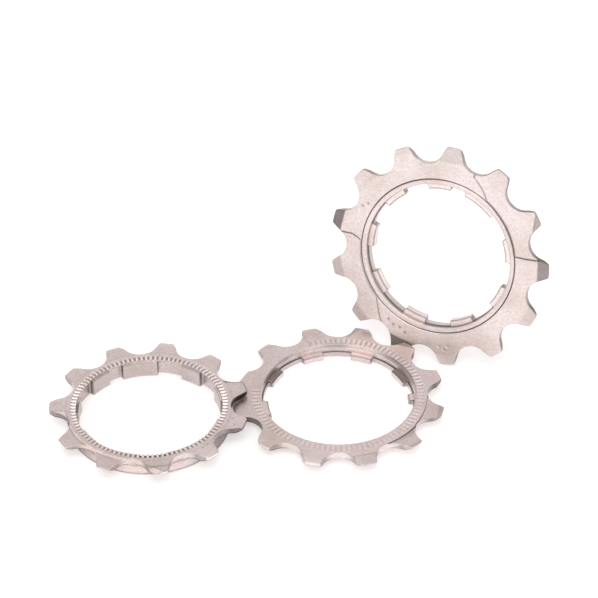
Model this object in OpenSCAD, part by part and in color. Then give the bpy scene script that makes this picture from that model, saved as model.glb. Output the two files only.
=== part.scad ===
// Three loose cassette sprockets, 11, 12 and 13 teeth, lying the way they
// were laid out: the two smaller ones flat and overlapping, the largest one
// standing on its teeth and leaning back behind them.
// Each sprocket is drawn in its own frame, front face on z = 0, body below.

/* [Chain] */
// Chain pitch
chain_pitch = 12.7; // [12.7:0.1:12.7]
// Radius of the seat that a chain roller drops into
roller_seat_r = 4.05; // [3.9:0.05:4.3]
// Depth of the tooth root below the pitch circle
root_depth = 3.9; // [3.6:0.05:4.1]
// Height of the tooth tips above the pitch circle, 11 and 13 teeth
tip_height = 0.3; // [0:0.05:0.8]
// Height of the tooth tips above the pitch circle, 12 teeth
tip_height_12 = 0.05; // [0:0.05:0.8]

/* [Toothed plate] */
// Thickness of the toothed plate
plate_t = 1.6; // [1.4:0.05:1.9]
// Width of the flat land on a tooth tip
tip_land = 3.4; // [2.4:0.1:4.2]
// Half width of a tooth at the top of its roller seat
flank_half_w = 2.35; // [2:0.05:2.6]
// How far inside the tip the tooth edges start to thin
tip_bevel = 1.3; // [0.5:0.1:2]
// How much the front of a tooth tip is thinned
front_thin = 0.15; // [0.05:0.05:0.4]
// How much the back of a tooth tip is thinned
back_thin = 0.6; // [0.1:0.05:0.8]

/* [Odd gap and tooth of the 12-tooth sprocket] */
// Number of its tight gap, counted from its first tooth
tight_gap = 6; // [0:1:11]
// Width of the tight gap beside the others
tight_width = 0.75; // [0.6:0.05:1]
// How much shallower the tight gap is
tight_rise = 0.8; // [0:0.1:1]
// Direction of the straight cut that shortens the tooth before the tight gap
short_side = 167; // [160:1:175]
// Distance of that cut from the centre
short_r = 22.4; // [22:0.1:24]
// Depth to which the tight gap is opened to the full width at the face
low_gap = 0.3; // [0.1:0.05:0.5]

/* [Splined bore] */
// Number of splines
spline_count = 9; // [9:1:9]
// Radius across the spline tips
spline_tip_r = 16.15; // [15.8:0.05:16.4]
// Radius of the bore between the splines
spline_root_r = 17.35; // [17.1:0.05:17.6]

/* [Overall heights] */
// Height of the 11-tooth sprocket with its spacer collar
height_11 = 4.7; // [4:0.05:4.9]
// Height of the 12-tooth sprocket with its spacer collar
height_12 = 3.35; // [3:0.05:3.4]
// Height of the 13-tooth sprocket with its spacer collar
height_13 = 3.4; // [3:0.05:4]

/* [Serrations] */
// Ridges round the face of each of the two smaller sprockets
ridge_count = 100; // [90:1:120]
// Height of the ridges
ridge_h = 0.3; // [0.1:0.05:0.4]

/* [Layout] */
// Sideways, forward and up place of the 11-tooth sprocket
place_11 = [-34.26, -10.29, 4.9];
// Sideways, forward and up place of the 12-tooth sprocket
place_12 = [8.92, -4.11, 3.59];
// Sideways, forward and up place of the 13-tooth sprocket
place_13 = [31.78, 18.8, 25.74];
// Small tilt and turn of the 11-tooth sprocket
turn_11 = [0, -0.6, -16.2];
// Small tilt and turn of the 12-tooth sprocket
turn_12 = [0.45, -0.6, -15.1];
// How far the 13-tooth sprocket stands up from lying flat
stand_13 = 74.2; // [70:0.1:80]
// How far its face is turned aside
face_13 = -23.35; // [-30:0.05:-15]
// How far it is rolled round its own axis
roll_13 = 6.6; // [0:0.05:10]

/* [Hidden] */
$fn = 96;
eps = 0.01;
far = 40;
steel = [0.80, 0.75, 0.74];

function polar(r, a) = [r * cos(a), r * sin(a)];
function pitch_r(teeth) = chain_pitch / 2 / sin(180 / teeth);
function root_r(teeth) = pitch_r(teeth) - root_depth;
function tip_r(teeth) = pitch_r(teeth) + (teeth == 12 ? tip_height_12 : tip_height);

// Outline between two teeth: a round roller seat that flares to the tips.
// lean moves the tooth tips sideways over their roots, in degrees.
module tooth_gap(teeth, lean) {
    seat_x = root_r(teeth) + roller_seat_r;
    knee_r = seat_x - 1.7;
    half_pitch = 180 / teeth;
    knee_a = half_pitch - asin(flank_half_w / knee_r);
    mouth_a = half_pitch - asin(tip_land / 2 / tip_r(teeth));
    mouth_r = tip_r(teeth) + 0.4;
    translate([seat_x, 0])
        circle(r = roller_seat_r);
    polygon([
        polar(knee_r, -knee_a),
        polar(mouth_r, -mouth_a + lean),
        polar(mouth_r, mouth_a + lean),
        polar(knee_r, knee_a)
    ]);
}

// tight is the number of the one gap that is tighter, or -1 for none.
module tooth_outline(teeth, lean, tight) {
    difference() {
        circle(r = tip_r(teeth));
        for (i = [0 : teeth - 1])
            rotate((i + 0.5) * 360 / teeth)
                translate([i == tight ? tight_rise : 0, 0])
                    scale([1, i == tight ? tight_width : 1])
                        tooth_gap(teeth, lean);
    }
}

// Disc that is thinned towards its rim, mostly at the back, to bevel the tips.
module bevelled_disc(teeth) {
    tip = tip_r(teeth) + eps;
    rotate_extrude()
        polygon([
            [0, 0],
            [tip - tip_bevel, 0],
            [tip, -front_thin],
            [tip, -plate_t + back_thin],
            [tip - tip_bevel, -plate_t],
            [0, -plate_t]
        ]);
}

module toothed_plate(teeth, lean, tight = -1) {
    intersection() {
        translate([0, 0, -plate_t])
            linear_extrude(plate_t)
                tooth_outline(teeth, lean, tight);
        bevelled_disc(teeth);
    }
}

// Spacer collar behind the plate.
module collar(r, height) {
    translate([0, 0, -height])
        cylinder(r = r, h = height - plate_t + 0.5);
}

// Wedge with its point on the axis, between two angles less than 180 apart.
module wedge(from, to) {
    polygon([
        [0, 0],
        polar(far, from),
        polar(far, to)
    ]);
}

// Hole for the splined freehub body: open from the front down to depth top,
// splined below it. width is the angle that one spline covers. The odd spline,
// which keys the sprocket to the freehub, stands near angle key and is given
// by its own two angles.
module splined_hole(mouth_r, top, height, width, key, odd) {
    translate([0, 0, -top])
        cylinder(r = mouth_r, h = top + 1);
    translate([0, 0, -height - 1])
        linear_extrude(height + 1 - top + eps)
            difference() {
                circle(r = spline_root_r);
                difference() {
                    union() {
                        for (i = [1 : spline_count - 1])
                            rotate(key + i * 360 / spline_count)
                                wedge(-width / 2, width / 2);
                        wedge(odd[0], odd[1]);
                    }
                    circle(r = spline_tip_r);
                }
            }
}

// Block outside the straight cut that shortens a tooth.
module short_cut() {
    rotate(short_side)
        translate([short_r, 0, -plate_t - 1])
            cube([5, 9, plate_t + 2]);
}

// Sector of the face, from radius inner outwards, that sits a little lower.
module relief(inner, from, to, depth) {
    translate([0, 0, -depth])
        linear_extrude(depth + 1)
            difference() {
                polygon([
                    polar(inner - 3, (from + to) / 2),
                    polar(inner - 1, from),
                    polar(far, from),
                    polar(far * 1.5, (from + to) / 2),
                    polar(far, to),
                    polar(inner - 1, to)
                ]);
                circle(r = inner);
            }
}

// Ring of radial ridges that grips the lockring or the next sprocket.
module ridge_ring(inner, outer, count) {
    slot = 360 / count / 2;
    translate([0, 0, -ridge_h])
        linear_extrude(ridge_h + 1)
            intersection() {
                difference() {
                    circle(r = outer);
                    circle(r = inner);
                }
                union()
                    for (i = [0 : count - 1])
                        rotate(i * 360 / count)
                            wedge(-slot / 2, slot / 2);
            }
}

// 11 teeth: tall collar, ridges on the bore edge for the lockring, one low sector.
module sprocket_11t() {
    mouth_r = 16.7;
    color(steel)
        translate(place_11)
            rotate([turn_11.x, turn_11.y, 0])
                rotate(turn_11.z)
                    difference() {
                        union() {
                            toothed_plate(11, 0.5);
                            collar(18.7, height_11);
                        }
                        splined_hole(mouth_r, 0.7, height_11, 18.5, 113, [102.5, 131.6]);
                        ridge_ring(mouth_r - 1, 18.1, ridge_count);
                        relief(18.85, 214, 277, 0.6);
                    }
}

// 12 teeth: ridged ring on the face, splines low in the bore, one short tooth.
module sprocket_12t() {
    mouth_r = 17.7;
    color(steel)
        translate(place_12)
            rotate([turn_12.x, turn_12.y, 0])
                rotate(turn_12.z)
                    difference() {
                        union() {
                            toothed_plate(12, 1, tight_gap);
                            collar(18.2, height_12);
                        }
                        splined_hole(mouth_r, 2, height_12, 17.5, 5.3, [14, 22]);
                        difference() {
                            ridge_ring(18.1, 20.1, ridge_count);
                            relief(17.8, 125.4, 188, 2);
                        }
                        relief(20.5, 317, 372, 0.4);
                        relief(17.95, 125.4, 188, 0.3);
                        short_cut();
                        translate([0, 0, -low_gap])
                            linear_extrude(1)
                                rotate((tight_gap + 0.5) * 30)
                                    tooth_gap(12, 1);
                    }
}

// 13 teeth: plain rim round the bore and two relieved sectors on the face.
module sprocket_13t() {
    mouth_r = 17.6;
    rim_r = 18.9;
    color(steel)
        translate(place_13)
            rotate([0, 0, face_13])
                rotate([stand_13, 0, 0])
                    rotate(roll_13)
                        difference() {
                            union() {
                                toothed_plate(13, 0);
                                collar(18.6, height_13);
                            }
                            splined_hole(mouth_r, 1.3, height_13, 19, 51, [41.5, 69.5]);
                            translate([0, 0, -0.2])
                                linear_extrude(1)
                                    difference() {
                                        circle(r = rim_r);
                                        circle(r = rim_r - 0.3);
                                    }
                            relief(19.1, 6, 60, 0.2);
                            relief(19.1, 172.5, 228, 0.2);
                        }
}

sprocket_11t();
sprocket_12t();
sprocket_13t();
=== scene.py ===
"""Three cassette sprockets: detailed meshes, nickel plate, floor, soft light and camera.

Each sprocket is one closed mesh, drawn in its own frame with the front face on z = 0 and
the body below. Sizes are in millimetres and angles in degrees; the finished mesh is in
metres. A tone is how bright a spot is painted beside the plain face, which is 1: painted
shade below 1 and painted highlight above 1, on chamfers partly their ground finish too.
Tones that change round a sprocket are (angle, tone) pairs.
"""
from dataclasses import dataclass
from math import asin, atan2, cos, pi, radians, sin

import bpy
import numpy as np
from mathutils import Euler, Matrix, Vector


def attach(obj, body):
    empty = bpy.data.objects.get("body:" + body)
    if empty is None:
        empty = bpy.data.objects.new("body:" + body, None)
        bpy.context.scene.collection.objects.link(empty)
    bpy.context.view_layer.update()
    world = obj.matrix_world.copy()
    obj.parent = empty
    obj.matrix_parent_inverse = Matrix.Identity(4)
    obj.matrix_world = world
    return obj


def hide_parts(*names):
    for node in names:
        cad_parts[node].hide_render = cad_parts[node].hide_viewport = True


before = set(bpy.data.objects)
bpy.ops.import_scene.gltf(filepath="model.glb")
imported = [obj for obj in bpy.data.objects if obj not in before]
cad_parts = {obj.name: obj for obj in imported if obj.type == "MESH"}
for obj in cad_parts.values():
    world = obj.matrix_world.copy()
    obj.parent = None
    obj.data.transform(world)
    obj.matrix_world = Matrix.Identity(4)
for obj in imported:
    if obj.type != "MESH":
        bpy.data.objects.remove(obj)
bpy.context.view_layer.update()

# ------------------------------------------------------------- driving sizes, in millimetres
MM = 0.001  # one millimetre in metres
PITCH = 12.7  # of the chain
SEAT_R = 4.05  # radius of the seat that a chain roller drops into
ROOT_DEPTH = 3.9  # of the seats below the pitch circle
KNEE_DROP = 1.7  # how far inside the seat's centre the tooth's straight flank starts
PLATE_T = 1.6  # thickness of the toothed plate
PLATE_MIN = 0.75  # thickness that the cuts in its face always leave
TIP_LAND = 3.4  # width of a tooth's tip
FLANK_HALF_W = 2.35  # half width of a tooth where its flank starts
TIP_BEVEL = 1.3  # how far inside the tip the teeth start to thin
FRONT_THIN = 0.15  # how much a tip is thinned at the front
BACK_THIN = 0.6  # and at the back
TIGHT_WIDTH = 0.75  # the 12-tooth sprocket's tight gap beside the others
TIGHT_RISE = 0.8  # how much shallower it is
SHORT_SIDE = 167  # direction of the straight cut that shortens one tooth, degrees
SHORT_R = 22.4  # its distance from the centre
SHORT_WIDTH = 9  # how far it reaches to the side of that direction
SPLINES = 9
SPLINE_TIP_R = 16.15
SPLINE_ROOT_R = 17.35
SPLINE_SIDE = 0.4  # half the angle that a spline's side covers, degrees

# Rounded edges
EDGE = 0.15  # radius on the toothed rim
COLLAR_EDGE = 0.2  # radius on the collar's outer edge
BORE_EDGE = 0.1  # radius on the splines
EDGE_MIDDLE = 0.29  # how far from its corner a rounded edge's middle lies, in radii

# Tones of painted light: painted shade below 1, painted highlight above 1
TIP_HIGHLIGHT = 1.1  # painted highlight on the rim at the tooth tips
WALL_SHADE = 0.95  # painted shade on the rim elsewhere
FLANK_SHADE = 0.55  # painted shade on the rim where it faces sideways
FRONT_EDGE_SHADE = 0.7  # painted shade along the rounded front edge
BACK_EDGE_SHADE = 0.45  # painted shade under the rounded back edge
BORE_SHADE = 0.9  # painted shade on the splined part of the bore
SPLINE_GAP_SHADE = 0.85  # more painted shade between its splines
SPLINE_SIDE_SHADE = 0.25  # painted shade on its splines' sides
LEDGE_EDGE_SHADE = 0.6  # painted shade along the front edge of the splines
PIP_SHADE = 0.6  # painted shade at the bottom of a punch mark
EVEN = ((0, 1), (360, 1))  # the same tone all round

# Face details
FACET_REACH = 4  # how far inside the pitch circle a facet goes
FACET_FADE = 0.4  # over how much it fades there, and beside its tooth in degrees
CREASE = (0.08, 0.22)  # half width of its crease line, and where the line has faded out
RIDGE_FADE = 0.1  # half the width over which ridges start and end
RIDGE_RUNOUT = 0.25  # how much sooner they start to end on the outside
RIDGE_SIDE = 0.6  # how much of the wave across them a groove's side takes
BAND_FADE = 0.06  # half the width over which a groove or shaded ring starts and ends

# Mesh
SEAT_POINTS, TIP_POINTS, FLANK_POINTS = 121, 40, 30  # on an outline, before it is stepped
ZONE_RINGS = 28  # rings between the last front radius and the toothed rim
EDGE_RINGS = 3  # on a rounded edge
GRIND_TURNS = 3.0  # how fast the grinding marks change round a sprocket


# ------------------------------------------------------------- small maths
def between(a, b, t):
    """a where t is 0, b where it is 1."""
    return a + (b - a) * t


def ramp(x, low, high):
    """0 below low, 1 above high, smooth between."""
    t = np.clip((x - low) / (high - low), 0, 1)
    return t * t * (3 - 2 * t)


def on_circle(r, angle):
    """Points at radii and angles in radians."""
    return np.stack([r * np.cos(angle), r * np.sin(angle)], -1)


def turn_from(angle, centre):
    """Signed difference of two angles in degrees, from -180 to 180."""
    return (angle - centre + 180) % 360 - 180


def in_sector(angle, start, end, edge):
    """1 between two angles in degrees, 0 outside, smooth over edge degrees."""
    half = (end - start) / 2
    return 1 - ramp(np.abs(turn_from(angle, start + half)), half - edge, half + edge)


def in_ring(r, inner, outer):
    """1 between two radii, 0 outside."""
    inside = 1 - ramp(r, outer - BAND_FADE, outer + BAND_FADE)
    return inside * ramp(r, inner - BAND_FADE, inner + BAND_FADE)


def fillet(radius, steps):
    """Quarter turn from face to wall: how far in from the wall, how far down from the face."""
    for k in range(1, steps + 1):
        turn = radians(90 * k / steps)
        yield radius * (1 - sin(turn)), radius * (1 - cos(turn))


def fillet_back(radius, steps):
    """The same quarter turn from wall to face, with the face's own ring."""
    return [*reversed([*fillet(radius, steps)]), (radius, 0)]


def value_at(x, line):
    """The line's value at x: a number everywhere, or straight between (x, value) pairs."""
    if isinstance(line, (int, float)):
        return np.full(np.shape(x), float(line))
    return np.interp(x, *zip(*line))


def tone_at(angle, tones):
    """Tone at angles in degrees, between (angle, tone) pairs."""
    return value_at(np.asarray(angle) % 360, tones)


def thinned(amount, r, tip_r):
    """How much a tooth is thinned at radius r, amount being that at its tip."""
    return amount / TIP_BEVEL * np.clip(r - tip_r + TIP_BEVEL, 0, None)


def shortened(points):
    """The outline with one tooth cut off straight."""
    out, side = on_circle(1, radians(SHORT_SIDE)), on_circle(1, radians(SHORT_SIDE + 90))
    over = np.clip(points @ out - SHORT_R, 0, None)
    over = over * ((points @ side > 0) & (points @ side < SHORT_WIDTH))
    return points - over[:, None] * out


def stepped(points, count):
    """A closed outline in count even steps along its length, starting at angle 0."""
    closed = np.vstack([points, points[:1]])
    length = np.r_[0, np.cumsum(np.linalg.norm(np.diff(closed, axis=0), axis=1))]
    angle = np.unwrap(np.arctan2(closed[:, 1], closed[:, 0]))
    start = np.interp(2 * pi, angle, length)
    at = (start + np.arange(count) / count * length[-1]) % length[-1]
    return np.stack([np.interp(at, length, closed[:, i]) for i in (0, 1)], 1)


# ------------------------------------------------------------- a sprocket's front face
class Face:
    """Depth and tone (painted shade and highlight) of one sprocket's front face, built up from
    cuts.

    A cut takes radii and angles in degrees, and gives the depth and tone there.
    """

    def __init__(self, teeth, pitch_r, tip_r):
        self.teeth, self.pitch_r, self.tip_r = teeth, pitch_r, tip_r
        self.cuts = []

    def facet(self, tooth, heading, offset, slope, limit, tone, line=1.0):
        """Flat chamfer on one tooth, falling away past a line across it.

        heading is 0 towards the tip and 90 towards the next tooth; offset is the line's
        distance from the pitch circle's crossing with the tooth's middle. The chamfer is at
        most limit deep. tone darkens it, partly for its ground finish and partly as painted
        shade, and line is the painted shade along its crease.
        """
        middle, half = tooth * 360 / self.teeth, 180 / self.teeth
        low_r = self.pitch_r - FACET_REACH
        across, aside = cos(radians(heading)), sin(radians(heading))

        def cut(r, angle):
            off = np.radians(turn_from(angle, middle))
            along = (r * np.cos(off) - self.pitch_r) * across + r * np.sin(off) * aside - offset
            on_tooth = in_sector(angle, middle - half, middle + half, FACET_FADE)
            on_tooth = on_tooth * ramp(r, low_r, low_r + FACET_FADE)
            # Painted shade along the crease; the chamfer's tone is partly ground finish, partly
            # painted shade
            crease = 1 - ramp(np.abs(along), *CREASE)
            shade = between(1, tone, ramp(along, -0.05, 0.15)) * between(1, line, crease)
            return np.clip(slope * along, 0, limit) * on_tooth, between(1, shade, on_tooth)

        self.cuts.append(cut)

    def relief(self, inner, start, end, depth, tone=1.0, edge=0.09, shade=0.8, rim_edge=0.09):
        """Sector outside a radius that lies lower.

        start and end are angles, or lists of (radius, angle); depth is a number, or a list
        of (angle, depth). shade is painted on the step round it: painted shade below 1,
        painted highlight above 1. The step is edge wide to either side, and at most rim_edge
        along the inner arc.
        """
        middle_r = 21.0
        centre = (value_at(middle_r, start) + value_at(middle_r, end)) / 2
        rim = min(edge, rim_edge)

        def cut(r, angle):
            wide = np.degrees(edge / np.maximum(r, 1))
            turn = turn_from(angle, centre) + centre
            first, last = value_at(r, start), value_at(r, end)
            low = ramp(turn, first - wide, first + wide)
            low = low * (1 - ramp(turn, last - wide, last + wide))
            low = low * ramp(r, inner - rim, inner + rim)
            # Painted shade on the step, a painted highlight where shade is above 1
            wall = 4 * low * (1 - low)
            return low * value_at(turn, depth), 1 + (tone - 1) * low + (shade - 1) * wall

        self.cuts.append(cut)

    def groove(self, inner, outer, depth, tone):
        """Ring-shaped groove, darkened with painted shade."""
        def cut(r, angle):
            band = in_ring(r, inner, outer)
            return depth * band, between(1, tone, band)

        self.cuts.append(cut)

    def shade(self, inner, outer, tones):
        """Ring of painted shade and highlight that changes with the angle."""
        def cut(r, angle):
            return 0, between(1, tone_at(angle, tones), in_ring(r, inner, outer))

        self.cuts.append(cut)

    def slope_in(self, outer, inner, depth):
        """Cone that falls towards the bore inside a radius."""
        def cut(r, angle):
            return depth * np.clip((outer - r) / (outer - inner), 0, 1), 1

        self.cuts.append(cut)

    def ridges(self, count, inner, outer, depth, tone, gap=None, fall=0.0, dim=0.0,
               crest=0.12, start=0.2, strength=EVEN):
        """Radial grooves between two radii, left out between the two gap angles.

        Towards the bore they get deeper by fall and darker by dim, in painted shade. tone is
        the painted shade in the grooves, crest the painted highlight on the ridges, start how
        wide they are, and strength how sharp they are round the ring, 1 being as made.
        """
        def cut(r, angle):
            wave = 0.5 - 0.5 * np.cos(np.radians(angle * count))
            band = ramp(r, inner - RIDGE_FADE, inner + RIDGE_FADE)
            band = band * (1 - ramp(r, outer - RIDGE_FADE - RIDGE_RUNOUT, outer + RIDGE_FADE))
            if gap:
                band = band * (1 - in_sector(angle, *gap, 0.6))
            band = band * tone_at(angle, strength)
            near = np.clip((outer - r) / (outer - inner), 0, 1)
            low = band * ramp(wave, start, start + RIDGE_SIDE)
            # Painted shade in the grooves, painted highlight on the crests
            dark = (tone - 1) * (1 + dim * near)
            return depth * (1 + fall * near) * low, 1 + dark * low + crest * (band - low)

        self.cuts.append(cut)

    def pips(self, places, radius, depth):
        """Small round punch marks at (radius, angle) places, with painted shade in each."""
        def cut(r, angle):
            total = 0
            for pip_r, pip_a in places:
                off = np.radians(turn_from(angle, pip_a))
                away = np.hypot(r * np.cos(off) - pip_r, r * np.sin(off))
                total = total + 1 - ramp(away, radius * 0.4, radius)
            return depth * total, between(1, PIP_SHADE, total)

        self.cuts.append(cut)

    def at(self, r, angle):
        """Height and tone at radii and angles in degrees."""
        r, angle = np.broadcast_arrays(np.asarray(r, float), np.asarray(angle, float))
        depth, tone = np.zeros(r.shape), np.ones(r.shape)
        for cut in self.cuts:
            deeper, shade = cut(r, angle)
            depth, tone = depth + deeper, tone * shade
        depth = np.maximum(depth, thinned(FRONT_THIN, r, self.tip_r))
        return -np.minimum(depth, PLATE_T - PLATE_MIN), tone


# ------------------------------------------------------------- a whole sprocket
@dataclass
class Sprocket:
    """One sprocket, made of rings of mesh points."""

    node: str  # CAD node that it stands for
    body: str  # CAD body that it rides on
    teeth: int
    height: float  # of the plate and the collar together
    place: tuple  # of the front face's centre
    turns: list  # turns about x, y and z; the last one is done first
    mouth_r: float  # radius of the smooth mouth in front of the splines
    mouth_depth: float
    collar_r: float
    lean: float  # how far the tooth tips lean sideways over their roots, degrees
    tip_height: float  # of the tooth tips above the pitch circle
    key: float  # angle of the odd spline's place
    lug_width: float  # angle that each other spline covers
    odd_lug: tuple  # the odd spline's first and last angle
    steps: int  # mesh points a tooth in each ring
    front_radii: np.ndarray  # of the front face's first rings
    mouth_tones: tuple  # painted shade and highlight up the mouth, from its back to the face
    # painted shade round the collar's side
    collar_tones: tuple = EVEN
    wall_tones: tuple = EVEN  # painted shade round the toothed rim
    upper_tones: tuple = EVEN  # painted shade and highlight round the front half of the mouth
    lower_tones: tuple = EVEN  # and round its back half
    ledge_tones: tuple = EVEN  # painted shade on the ledge between the splines and the mouth
    recess_tone: float = 1.0  # painted shade on that ledge between the splines
    lug_tones: tuple = (0.9, 1, 1, 1, 1)  # painted shade and highlight up each spline
    tight: int = None  # number of the tight gap

    def __post_init__(self):
        self.pitch_r = PITCH / 2 / sin(pi / self.teeth)
        self.root_r = self.pitch_r - ROOT_DEPTH
        self.tip_r = self.pitch_r + self.tip_height
        self.collar_r = min(self.collar_r, self.root_r - 0.03)  # keeps it inside the seats
        self.count = self.teeth * self.steps
        self.angle = np.arange(self.count) / self.count * 2 * pi
        self.around = np.degrees(self.angle)
        self.lug = self.splines()
        self.bore_r = between(SPLINE_ROOT_R, SPLINE_TIP_R, self.lug)
        self.face = Face(self.teeth, self.pitch_r, self.tip_r)
        self.points, self.tones = [], []

    def splines(self):
        """1 on a spline, 0 between, round the bore."""
        total = in_sector(self.around, *self.odd_lug, SPLINE_SIDE)
        for i in range(1, SPLINES):
            first = self.key + i * 360 / SPLINES - self.lug_width / 2
            total = total + in_sector(self.around, first, first + self.lug_width, SPLINE_SIDE)
        return total

    def gap_and_tip(self):
        """Outline of a gap that points along x, and of the tooth tip after it."""
        half, lean = pi / self.teeth, radians(self.lean)
        seat_x = self.root_r + SEAT_R
        knee_r = seat_x - KNEE_DROP
        knee_a = half - asin(FLANK_HALF_W / knee_r)
        land_a = half - asin(TIP_LAND / 2 / self.tip_r)
        seat_end = atan2(knee_r * sin(knee_a), knee_r * cos(knee_a) - seat_x)
        seat = on_circle(SEAT_R, np.linspace(2 * pi - seat_end, seat_end, SEAT_POINTS))
        seat = seat + (seat_x, 0)
        land = np.linspace(land_a, 2 * half - land_a, TIP_POINTS)
        tip = on_circle(self.tip_r, land + lean)
        start = on_circle(self.tip_r, lean - land_a)
        flank_down = np.linspace(start, seat[0], FLANK_POINTS)[:-1]
        flank_up = np.linspace(seat[-1], tip[0], FLANK_POINTS)[1:-1]
        return np.vstack([flank_down, seat, flank_up]), tip[:-1]

    def outline(self):
        """Closed outline of the toothed plate and its outward normals, evenly stepped."""
        gap, tip = self.gap_and_tip()
        tight_gap = gap * (1, TIGHT_WIDTH) + (TIGHT_RISE, 0)
        tight_gap = tight_gap * np.minimum(1, self.tip_r / np.hypot(*tight_gap.T))[:, None]
        parts = []
        for i in range(self.teeth):
            a = (i + 0.5) * 2 * pi / self.teeth
            turn = np.array([[cos(a), sin(a)], [-sin(a), cos(a)]])
            parts.append(np.vstack([tight_gap if i == self.tight else gap, tip]) @ turn)
        points = np.vstack(parts)
        if self.tight is not None:
            points = shortened(points)
        points = stepped(points, self.count)
        for _ in range(3):  # rounds the corners of the tips
            points = 0.5 * points + 0.25 * (np.roll(points, 1, 0) + np.roll(points, -1, 0))
        along = np.roll(points, -1, 0) - np.roll(points, 1, 0)
        normals = np.stack([along[:, 1], -along[:, 0]], 1)
        return points, normals / np.linalg.norm(normals, axis=1)[:, None]

    def inset_rim(self, inset):
        """The toothed rim's outline, moved in by inset."""
        return self.rim - np.broadcast_to(inset, self.count)[:, None] * self.normals

    def back(self, r):
        """Height of the plate's back, which rises towards the tips."""
        return thinned(BACK_THIN, r, self.tip_r) - PLATE_T

    # Single rings
    def lay(self, xy, z, tone):
        """Add a ring of mesh points and their tones."""
        self.points.append(np.c_[xy, np.broadcast_to(z, self.count)])
        self.tones.append(np.broadcast_to(tone, self.count))

    def circle(self, r, z, tone=1.0):
        """A ring at the even angles."""
        self.lay(on_circle(r, self.angle), z, tone)

    def front(self, r, a):
        """A ring that follows the front face."""
        z, tone = self.face.at(r, np.degrees(a))
        self.lay(on_circle(r, a), z, tone)

    # Stretches of rings, in the order that they are laid
    def lay_face(self):
        """Over the front face, from the bore to the toothed rim."""
        for r in self.front_radii:
            self.front(r, self.angle)
        zone = self.front_radii[-1]
        for t in np.linspace(0, 1, ZONE_RINGS + 1)[1:] ** 1.5:
            self.front(between(zone, self.edge_r, t),
                       between(self.angle, self.edge_a, ramp(t, 0, 0.5)))

    def lay_rim(self):
        """Over the toothed rim, with its front and back edges rounded."""
        edge_deg = np.degrees(self.edge_a)
        rim_r = np.hypot(*self.rim.T)
        facing = (self.rim * self.normals).sum(1) / rim_r
        z, tone = self.face.at(self.edge_r, edge_deg)
        # Painted highlight on the tips, painted shade where the rim faces sideways and round it
        # by angle
        on_tip = ramp(rim_r, self.tip_r - 0.7, self.tip_r - 0.2)
        outwards = ramp(facing, 0.45, 0.9)
        wall = between(WALL_SHADE, TIP_HIGHLIGHT, on_tip) * between(FLANK_SHADE, 1, outwards)
        wall = wall * tone_at(edge_deg, self.wall_tones)
        # Painted shade along the rounded front edge
        for inset, drop in fillet(EDGE, EDGE_RINGS):
            self.lay(self.inset_rim(inset), z - drop,
                     between(FRONT_EDGE_SHADE * tone, wall, drop / EDGE))
        low = self.back(rim_r)
        self.lay(self.rim, between(z - EDGE, low + EDGE, 0.75), wall)
        # The back edge is sharp at the roots, where the collar meets the rim; on the teeth it
        # carries painted shade
        on_tooth = ramp(rim_r, self.root_r + 0.1, self.root_r + 0.6)
        under = between(1, BACK_EDGE_SHADE, on_tooth) * wall
        for inset, drop in fillet_back(EDGE, EDGE_RINGS):
            self.lay(self.inset_rim(inset * on_tooth), low + drop, under)
        self.back_r = np.hypot(*self.inset_rim(EDGE * on_tooth).T)

    def lay_back(self):
        """Over the plate's back to the foot of the collar."""
        foot = 0.3  # how far outside the collar the last ring is
        for t in np.linspace(0, 1, 5)[1:]:
            r = between(self.back_r, self.collar_r + foot, t)
            self.lay(on_circle(np.maximum(r, self.collar_r),
                               between(self.edge_a, self.angle, t)), self.back(r), 1)

    def lay_collar(self):
        """Down the collar and in over its end, with painted shade and a painted dark line near
        the end.
        """
        side = tone_at(self.around, self.collar_tones)
        end = COLLAR_EDGE - self.height
        for t, shade in ((0.02, 0.9), (0.3, 0.95), (0.7, 1.0), (0.84, 0.95), (0.92, 0.4),
                         (0.99, 0.9)):
            self.circle(self.collar_r, between(-PLATE_T, end, t), shade * side)
        # Painted highlight on the rounded edge
        for inset, rise in fillet_back(COLLAR_EDGE, EDGE_RINGS):
            self.circle(self.collar_r - inset, rise - self.height, 1.1 * side)
        for t in (0.5, 1):
            self.circle(between(self.collar_r - COLLAR_EDGE, self.bore_r + BORE_EDGE, t),
                        -self.height)

    def lay_bore(self):
        """Up the splines, round their front edge and out over the ledge to the mouth."""
        bottom, ledge = -self.height, -self.mouth_depth
        for inset, rise in fillet(BORE_EDGE, 2):
            self.circle(self.bore_r + inset, bottom + rise)
        # Painted shade in the bore, more between the splines and on their sides; painted shade
        # and highlight up each spline
        tone = BORE_SHADE * between(SPLINE_GAP_SHADE, 1, self.lug)
        tone = tone * between(1, SPLINE_SIDE_SHADE, 4 * self.lug * (1 - self.lug))
        for t, shade in zip((0.04, 0.16, 0.5, 0.85, 0.97), self.lug_tones):
            self.circle(self.bore_r, between(bottom + BORE_EDGE, ledge - BORE_EDGE, t),
                        tone * between(1, shade, self.lug))
        # Painted shade on the ledge between the splines and round it by angle
        tone = tone * between(self.recess_tone, 1, self.lug)
        tone = tone * tone_at(self.around, self.ledge_tones)
        for inset, drop in fillet_back(BORE_EDGE, EDGE_RINGS):
            self.circle(self.bore_r + inset, ledge - drop, LEDGE_EDGE_SHADE * tone)
        start = self.bore_r + BORE_EDGE
        end = np.maximum(self.mouth_r - 0.05, start)
        # Painted highlight across the ledge, with painted shade at its outer edge
        for t, shade in ((0.3, 1.3), (0.8, 1.25), (1, 0.7)):
            self.circle(between(start, end, t), ledge, shade * tone)

    def lay_mouth(self):
        """Up the smooth mouth and round its edge to the front face."""
        z, tone = self.face.at(self.front_radii[0], self.around)
        edge = self.front_radii[0] - self.mouth_r
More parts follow.
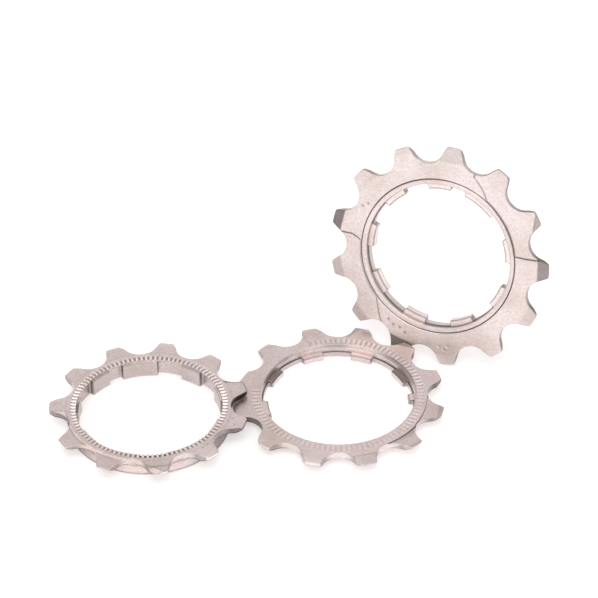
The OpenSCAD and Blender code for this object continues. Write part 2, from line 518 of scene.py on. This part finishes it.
        # Painted shade and highlight up the mouth, changing round it
        upper = tone_at(self.around, self.upper_tones)
        lower = tone_at(self.around, self.lower_tones)
        heights = np.linspace(0.03, 1, len(self.mouth_tones))
        for t, shade in zip(heights, self.mouth_tones):
            self.circle(self.mouth_r, between(-self.mouth_depth, z - edge, t),
                        shade * between(lower, upper, ramp(t, 0.4, 0.6)))
        self.circle(self.mouth_r + EDGE_MIDDLE * edge, z - EDGE_MIDDLE * edge, tone)

    def lay_rings(self):
        """All rings, each stretch starting where the one before it ends."""
        self.rim, self.normals = self.outline()
        edge = self.inset_rim(EDGE)
        self.edge_r = np.hypot(*edge.T)
        self.edge_a = np.unwrap(np.arctan2(edge[:, 1], edge[:, 0]))
        self.edge_a -= 2 * pi * round(self.edge_a[0] / (2 * pi))
        self.lay_face()
        self.lay_rim()
        self.lay_back()
        self.lay_collar()
        self.lay_bore()
        self.lay_mouth()

    # The finished piece
    def build(self, material):
        """Join the rings to a closed mesh, with tone (painted shade and highlight) and grinding
        marks as attributes.
        """
        self.lay_rings()
        points, n, rings = np.vstack(self.points), self.count, len(self.points)
        here = np.arange(n)
        after = (here + 1) % n
        faces = []
        for i in range(rings):
            a, b = i * n, (i + 1) % rings * n
            faces.append(np.stack([a + here, b + here, b + after, a + after], 1))
        name = "shaped_" + self.node
        mesh = bpy.data.meshes.new(name)
        mesh.from_pydata((points * MM).tolist(), [], np.vstack(faces).tolist())
        tone = mesh.attributes.new("tone", "FLOAT", "POINT")
        tone.data.foreach_set("value", np.concatenate(self.tones).astype(np.float32))
        x, y, z = points.T
        r = np.hypot(x, y)
        marks = np.stack([r + z, GRIND_TURNS * x / r, GRIND_TURNS * y / r], 1)
        grind = mesh.attributes.new("grind", "FLOAT_VECTOR", "POINT")
        grind.data.foreach_set("vector", marks.astype(np.float32).ravel())
        mesh.transform(self.matrix())
        mesh.update()
        mesh.polygons.foreach_set("use_smooth", np.ones(len(mesh.polygons), bool))
        mesh.materials.append(material)
        piece = bpy.data.objects.new(name, mesh)
        bpy.context.scene.collection.objects.link(piece)
        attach(piece, self.body)
        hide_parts(self.node)

    def matrix(self):
        """From the sprocket's own frame to its place."""
        matrix = Matrix.Translation(Vector(self.place) * MM)
        for turn in self.turns:
            matrix = matrix @ Euler([radians(v) for v in turn], "XYZ").to_matrix().to_4x4()
        return matrix


# ------------------------------------------------------------- the three sprockets
def sprocket_11t():
    """Tall collar, ridges through the bore's front edge, one low sector."""
    sprocket = Sprocket(
        node="sprocket_11t", body="small", teeth=11, height=4.7,
        place=(-34.26, -10.29, 4.9), turns=[(0, -0.6, 0), (0, 0, -16.2)],
        mouth_r=16.7, mouth_depth=0.7, collar_r=18.7, lean=0.5, tip_height=0.3,
        key=113, lug_width=18.5, odd_lug=(102.5, 131.6),
        steps=100, front_radii=np.linspace(16.82, 18.29, 12),
        # Tones below are painted shade and highlight, by angle round the sprocket
        mouth_tones=(0.45, 0.8, 0.9, 0.9),
        collar_tones=[(0, 0.4), (60, 0.6), (180, 0.6), (222, 0.35), (242, 0.7), (260, 1.0),
                      (300, 1.05), (325, 0.8), (345, 0.4), (360, 0.4)],
        wall_tones=[(0, 0.5), (8, 0.1), (38, 0.1), (42, 1), (200, 1), (206, 0.35),
                    (216, 0.35), (222, 1), (335, 1), (345, 0.5), (360, 0.5)],
        ledge_tones=[(0, 1), (188, 1), (193, 0.3), (202, 0.3), (207, 1), (360, 1)],
        lug_tones=(0.77,) * 5)
    face = sprocket.face
    # Ridges with painted shade in their grooves and painted highlight on their crests
    face.ridges(count=100, inner=16.7, outer=18.1, depth=0.2, tone=0.45, fall=1.2, dim=0.45,
                crest=0.35,
                strength=[(0, 0.85), (50, 0.95), (60, 0.7), (160, 0.7), (172, 0.85),
                          (190, 0.85), (204, 0.6), (256, 0.65), (278, 0.9), (281, 1.25),
                          (302, 1.25), (305, 0.9), (326, 0.75), (360, 0.85)])
    # Low sector with a painted highlight on its step, and a ring groove in painted shade
    face.relief(inner=18.85, start=214, end=277, depth=0.6, edge=0.06, shade=1.15)
    face.groove(inner=18.95, outer=19.1, depth=0.05, tone=0.8)
    # Tooth 1, which lies over the 12-tooth sprocket, has a border of painted shade
    for heading, offset in ((0, -0.02), (45, 1.3), (75, 1.55)):
        face.facet(1, heading, offset, slope=0.1, limit=0.1, tone=0.4)
    # Chamfers darker partly for their ground finish and partly as painted shade, painted shade
    # on their creases
    face.facet(6, 90, 2.0, slope=0.3, limit=0.5, tone=0.9, line=0.7)
    face.facet(9, 0, -1.5, slope=0.15, limit=0.4, tone=0.85, line=0.6)
    face.facet(9, -31, -0.63, slope=0.5, limit=0.6, tone=0.75, line=0.6)
    face.pips([(19.1, 359), (19.6, 3.5), (20.7, 357.5), (19.3, 327.5), (19.2, 332)],
              radius=0.35, depth=0.12)
    return sprocket


def sprocket_12t():
    """Splines low in the bore, a worn ring of ridges, two low sectors, a tight gap."""
    sprocket = Sprocket(
        node="sprocket_12t", body="middle", teeth=12, height=3.35,
        place=(8.92, -4.11, 3.59), turns=[(0.45, -0.6, 0), (0, 0, -15.1)],
        mouth_r=17.7, mouth_depth=2.0, collar_r=18.2, lean=1.0, tip_height=0.05,
        key=5.3, lug_width=17.5, odd_lug=(14, 22), tight=6,
        steps=89, front_radii=np.r_[17.82, 17.95, np.arange(18.05, 20.4, 0.16)],
        # Tones below are painted shade and highlight, by angle round the sprocket
        mouth_tones=(0.85, 1.0, 1.05, 1.05, 1.15, 0.8, 0.85, 0.85, 0.75),
        wall_tones=[(0, 0.7), (10, 0.5), (40, 0.35), (60, 0.5), (90, 1), (205, 1),
                    (215, 0.3), (232, 0.3), (240, 1), (330, 1), (360, 0.7)],
        upper_tones=[(0, 1), (36, 0.95), (52, 0.55), (64, 0.55), (78, 1.15), (92, 1.05),
                     (102, 0.62), (112, 0.65), (126, 1), (136, 0.9), (148, 0.5),
                     (160, 0.6), (176, 0.8), (190, 1), (360, 1)],
        lower_tones=[(0, 1.1), (24, 1.3), (38, 0.75), (46, 0.6), (54, 0.85), (68, 0.8),
                     (80, 1.1), (92, 0.95), (110, 0.75), (128, 1), (145, 0.75),
                     (156, 0.75), (163, 0.4), (172, 0.4), (180, 1.2), (360, 1.1)],
        ledge_tones=[(0, 1), (35, 1), (38, 0.5), (54, 0.6), (58, 1), (154, 1),
                     (158, 0.5), (174, 0.5), (178, 1), (360, 1)],
        recess_tone=0.35)
    face = sprocket.face
    # Ring of painted shade and highlight round the mouth's edge
    face.shade(17.5, 18.08, [(0, 0.9), (20, 0.75), (34, 0.4), (58, 0.45), (68, 0.8),
                             (78, 1.1), (92, 1.1), (100, 0.72), (110, 0.75), (124, 1.1),
                             (148, 0.8), (164, 1.05), (200, 1), (360, 0.9)])
    # Ridges with painted shade in their grooves and painted highlight on their crests
    face.ridges(count=100, inner=18.2, outer=20.1, depth=0.13, tone=0.66, gap=(125, 189),
                start=0.4,
                strength=[(0, 0.5), (18, 0.6), (26, 1), (100, 1), (112, 0.65), (190, 0.8),
                          (240, 0.95), (256, 0.5), (330, 0.4), (338, 0.8), (350, 0.8),
                          (360, 0.5)])
    # Low sectors, with painted shade on their steps
    face.relief(inner=17.95, start=125.4, end=188, depth=0.3, shade=0.5)
    face.relief(inner=20.62, start=317, end=342.5, depth=[(317, 0.15), (340, 0.9)],
                tone=0.93, edge=0.16, shade=0.1, rim_edge=0.16)
    face.relief(inner=20.5, start=342.5, end=372, depth=0.4, tone=0.96, edge=0.14,
                shade=0.15, rim_edge=0.14)
    # Chamfers darker partly for their ground finish and partly as painted shade
    face.facet(0, 10, -1.0, slope=0.1, limit=0.3, tone=0.8)
    face.facet(2, 25, -1.0, slope=0.1, limit=0.3, tone=0.5)
    face.facet(3, 60, 0.2, slope=0.1, limit=0.3, tone=0.75)
    face.facet(10, 0, -2.6, slope=0.25, limit=0.9, tone=0.78, line=0.75)
    face.facet(11, 0, -0.8, slope=0.1, limit=0.3, tone=0.8)
    return sprocket


def sprocket_13t():
    """Smooth rim inside a fine ring groove, two shallow sectors with curved ends."""
    sprocket = Sprocket(
        node="sprocket_13t", body="large", teeth=13, height=3.4,
        place=(31.78, 18.8, 25.74), turns=[(0, 0, -23.35), (74.2, 0, 0), (0, 0, 6.6)],
        mouth_r=17.6, mouth_depth=1.3, collar_r=18.6, lean=0, tip_height=0.3,
        key=51, lug_width=19, odd_lug=(41.5, 69.5),
        steps=75,
        front_radii=np.r_[17.72, 17.9, 18.04, 18.1, 18.16, 18.22, 18.4, 18.58, 18.66, 18.74,
                          18.82, 18.9, 18.98, 19.08, np.arange(19.25, 22.2, 0.2)],
        # Tones below are painted shade and highlight, up the mouth and splines and round the
        # rim
        mouth_tones=(0.25, 0.8, 0.35, 0.9, 0.75),
        wall_tones=[(0, 0.5), (60, 0.6), (100, 1), (200, 1), (300, 0.6), (360, 0.5)],
        recess_tone=0.45, lug_tones=(0.4, 1.15, 1.2, 1.15, 0.5))
    face = sprocket.face
    # Ring groove in painted shade
    face.groove(inner=18.68, outer=18.94, depth=0.25, tone=0.2)
    face.slope_in(outer=18.14, inner=17.6, depth=0.12)
    # Shallow sectors with lines of painted shade on their steps
    face.relief(inner=19.1, start=[(19, 8), (21.5, 6.5), (23.9, 5.8)],
                end=[(18.8, 52.6), (19.6, 55), (20.6, 60), (21.6, 65.5), (22, 68)],
                depth=0.12, edge=0.3, shade=0.15)
    face.relief(inner=19.1, start=[(18.9, 175.5), (20.2, 173.5), (21.3, 172.3), (24.2, 172.7)],
                end=[(19.1, 219.4), (19.9, 223), (20.8, 227), (21.8, 230.5), (22.8, 234.4)],
                depth=0.12, edge=0.3, shade=0.15)
    # Darker tip chamfers, partly their ground finish and partly painted shade
    for tooth, start_r, slope, tone in ((0, 24.2, 0.25, 0.42), (3, 23.2, 0.08, 0.9),
                                        (5, 23.2, 0.04, 0.95), (6, 24.2, 0.25, 0.3),
                                        (7, 24.2, 0.15, 0.8), (8, 24.4, 0.12, 0.88),
                                        (9, 23.3, 0.3, 0.3), (10, 24.4, 0.2, 0.75),
                                        (11, 24.4, 0.1, 0.92), (12, 24.2, 0.15, 0.85)):
        face.facet(tooth, 0, start_r - sprocket.pitch_r, slope, limit=0.6, tone=tone)
    face.facet(1, -35.2, -0.34, slope=0.35, limit=0.8, tone=0.62, line=0.6)
    face.facet(2, -35.2, 0.9, slope=0.35, limit=0.8, tone=0.8, line=0.6)
    face.pips([(20.8, 236), (21.2, 240.5), (20.9, 245), (21.4, 249.5), (20.4, 148),
               (21.2, 151.5), (22.2, 273), (22.9, 276), (22.1, 278.5)],
              radius=0.45, depth=0.15)
    return sprocket


# ------------------------------------------------------------- materials
class Tree:
    """Short calls for a material's nodes."""

    def __init__(self, material):
        material.use_nodes = True
        self.nodes, self.links = material.node_tree.nodes, material.node_tree.links
        self.shader = self.nodes["Principled BSDF"]

    def fill(self, node, inputs):
        """Set a node's inputs to values, or link them where a socket is given."""
        for name, value in inputs.items():
            if isinstance(value, bpy.types.NodeSocket):
                self.links.new(value, node.inputs[name])
            else:
                node.inputs[name].default_value = value

    def add(self, kind, output, inputs=None, **settings):
        """A new node's output."""
        node = self.nodes.new(kind)
        for name, value in settings.items():
            setattr(node, name, value)
        self.fill(node, inputs or {})
        return node.outputs[output]

    def noise(self, vector, scale, detail, roughness=0.5):
        return self.add("ShaderNodeTexNoise", "Fac", {
            "Vector": vector, "Scale": scale, "Detail": detail, "Roughness": roughness})

    def spread(self, value, low, high, start=0.3, end=0.7):
        """The value, moved from start and end to low and high."""
        return self.add("ShaderNodeMapRange", "Result", {
            "Value": value, "From Min": start, "From Max": end, "To Min": low, "To Max": high})

    def times(self, a, b):
        return self.add("ShaderNodeMath", "Value", {0: a, 1: b}, operation="MULTIPLY")

    def bump(self, height, strength, distance, inputs=None):
        return self.add("ShaderNodeBump", "Normal", {
            "Height": height, "Strength": strength, "Distance": distance, **(inputs or {})})


def nickel_plate():
    """Warm nickel with soft clouds, grinding marks, fine specks and the painted shade and
    highlight of the tone attribute.
    """
    material = bpy.data.materials.new("nickel_plate")
    tree = Tree(material)
    place = tree.add("ShaderNodeTexCoord", "Object")
    grind = tree.add("ShaderNodeAttribute", "Vector", attribute_name="grind")
    # tone: painted shade and highlight laid on the mesh
    tone = tree.add("ShaderNodeAttribute", "Fac", attribute_name="tone")

    tint = tree.add("ShaderNodeValToRGB", "Color", {"Fac": tree.noise(place, 110, 3)})
    dark, light = tint.node.color_ramp.elements
    dark.position, dark.color = 0.35, (0.775, 0.660, 0.625, 1)
    light.position, light.color = 0.62, (0.880, 0.775, 0.762, 1)
    marks = tree.noise(grind, 6.0, 5, 0.7)
    specks = tree.noise(place, 2400, 3, 0.6)
    wear = tree.times(tree.spread(specks, 0.88, 1.1), tree.spread(marks, 0.84, 1.1))
    colour = tree.add("ShaderNodeVectorMath", "Vector",
                      {0: tint, "Scale": tree.times(tone, wear)}, operation="SCALE")
    grain = tree.noise(place, 2600, 3)
    fine = tree.bump(grain, 0.3, 0.00004)
    tree.fill(tree.shader, {
        "Metallic": 1.0,
        "Base Color": colour,
        "Roughness": tree.spread(grain, 0.3, 0.42, start=0, end=1),
        "Normal": tree.bump(marks, 0.4, 0.00006, {"Normal": fine})})
    return material


def pale_floor():
    material = bpy.data.materials.new("floor_white")
    tree = Tree(material)
    tree.fill(tree.shader, {
        "Base Color": (0.82, 0.82, 0.82, 1),
        "Emission Color": (1, 1, 1, 1),
        "Emission Strength": 0.36,
        "Roughness": 0.9,
        "Specular IOR Level": 0.1})
    return material


# ------------------------------------------------------------- floor, light and camera
def floor():
    half = 3.0
    mesh = bpy.data.meshes.new("floor")
    mesh.from_pydata([(-half, -half, 0), (half, -half, 0), (half, half, 0), (-half, half, 0)],
                     [], [(0, 1, 2, 3)])
    mesh.materials.append(pale_floor())
    obj = bpy.data.objects.new("floor", mesh)
    bpy.context.scene.collection.objects.link(obj)


def aimed(obj, place, turn):
    """Put a light or the camera in the scene, its -z axis along the view."""
    obj.location = place
    obj.rotation_mode = "QUATERNION"
    obj.rotation_quaternion = turn
    bpy.context.scene.collection.objects.link(obj)


def area_light(name, place, aim, size, power):
    data = bpy.data.lights.new(name, "AREA")
    data.size = size
    data.energy = power
    aimed(bpy.data.objects.new(name, data), place,
          (Vector(aim) - Vector(place)).to_track_quat("-Z", "Y"))


def sky():
    """White near the horizon, softly darker higher up, white again overhead."""
    stops = [  # height, brightness, warmth
        (0.0, 1.15, 0),
        (0.15, 1.0, 0),
        (0.45, 0.72, 0.05),
        (0.75, 0.67, 0.05),
        (1.0, 1.1, 0),
    ]
    world = bpy.data.worlds.new("studio")
    world.use_nodes = True
    nodes, links = world.node_tree.nodes, world.node_tree.links
    way = nodes.new("ShaderNodeTexCoord")
    split = nodes.new("ShaderNodeSeparateXYZ")
    shade = nodes.new("ShaderNodeValToRGB")
    elements = shade.color_ramp.elements
    while len(elements) < len(stops):
        elements.new(0.5)
    for element, (height, level, warm) in zip(elements, stops):
        element.position = height
        element.color = (level, level * (1 - warm), level * (1 - 1.2 * warm), 1)
    background = nodes["Background"]
    background.inputs["Strength"].default_value = 1.0
    links.new(way.outputs["Generated"], split.inputs["Vector"])
    links.new(split.outputs["Z"], shade.inputs["Fac"])
    links.new(shade.outputs["Color"], background.inputs["Color"])
    bpy.context.scene.world = world


def camera():
    elevation, azimuth, roll = radians(37.65), radians(-0.3), radians(0.49)
    aim = Vector((-0.0001, 0.0359, 0))
    distance = 0.5639
    data = bpy.data.cameras.new("camera")
    data.sensor_width = 36
    data.lens = 138.5
    data.clip_start = 0.05
    data.clip_end = 20
    back = Vector((sin(azimuth) * cos(elevation), -cos(azimuth) * cos(elevation),
                   sin(elevation)))
    turn = (-back).to_track_quat("-Z", "Y").to_matrix() @ Matrix.Rotation(roll, 3, "Z")
    obj = bpy.data.objects.new("camera", data)
    aimed(obj, aim + back * distance, turn.to_quaternion())
    bpy.context.scene.camera = obj


nickel = nickel_plate()
for sprocket in (sprocket_11t(), sprocket_12t(), sprocket_13t()):
    sprocket.build(nickel)
floor()
sky()
area_light("key", place=(-0.05, -0.35, 0.6), aim=(0, 0.05, 0), size=0.5, power=1.5)
camera()
bpy.context.scene.view_settings.view_transform = "Standard"
